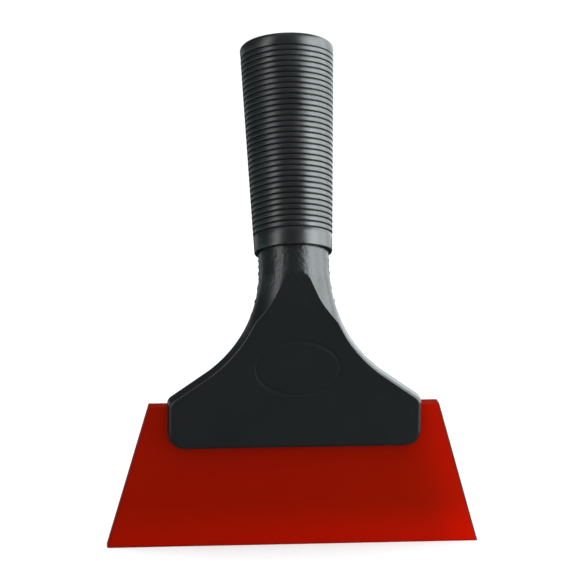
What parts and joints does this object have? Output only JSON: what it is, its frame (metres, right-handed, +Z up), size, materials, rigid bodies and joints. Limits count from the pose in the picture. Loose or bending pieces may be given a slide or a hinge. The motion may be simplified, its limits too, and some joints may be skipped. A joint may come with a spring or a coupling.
{
  "type": "squeegee applicator",
  "caption": "Long-handled squeegee with a flared clamp head, a thick trapezoid urethane blade and a ribbed rubber grip, for pressing vinyl film.",
  "frame": {"origin": "middle of the wiping edge, halfway through the blade's thickness", "axes": "+X along the wiping edge to the right, -Y towards the front face of the head, +Z up from the work surface; the handle leans back towards +Y"},
  "size_m": [0.15, 0.0705, 0.2028],
  "materials": {
    "black_plastic": "satin black injection-moulded plastic",
    "grip_rubber": "smooth black thermoplastic rubber",
    "urethane": "cast red polyurethane, satin",
    "brass_insert": "knurled",
    "zinc_steel": "bright zinc plated"
  },
  "bodies": {
    "handle": {"front_shell": "black_plastic", "rear_shell": "black_plastic", "grip_sleeve": "grip_rubber", "insert_left": "brass_insert", "insert_center": "brass_insert", "insert_right": "brass_insert", "insert_neck": "brass_insert"},
    "blade_body": {"blade": "urethane"},
    "clamp_screw_left_body": {"clamp_screw_left": "zinc_steel"},
    "clamp_screw_center_body": {"clamp_screw_center": "zinc_steel"},
    "clamp_screw_right_body": {"clamp_screw_right": "zinc_steel"},
    "neck_screw_body": {"neck_screw": "zinc_steel"}
  },
  "joints": [
    {"name": "blade_slide", "type": "slide", "parent": "handle", "child": "blade_body", "axis": [1, 0, 0], "range_m": [-0.115, 0.115]},
    {"name": "clamp_left_turn", "type": "hinge", "parent": "handle", "child": "clamp_screw_left_body", "pos_m": [-0.03, 0, 0.066], "axis": [0, 1, 0], "range_deg": [0, 1080]},
    {"name": "clamp_center_turn", "type": "hinge", "parent": "handle", "child": "clamp_screw_center_body", "pos_m": [0, 0, 0.066], "axis": [0, 1, 0], "range_deg": [0, 1080]},
    {"name": "clamp_right_turn", "type": "hinge", "parent": "handle", "child": "clamp_screw_right_body", "pos_m": [0.03, 0, 0.066], "axis": [0, 1, 0], "range_deg": [0, 1080]},
    {"name": "neck_screw_turn", "type": "hinge", "parent": "handle", "child": "neck_screw_body", "pos_m": [0, 0.0038, 0.10516], "axis": [0, 0.9063, -0.4226], "range_deg": [0, 1080]}
  ]
}
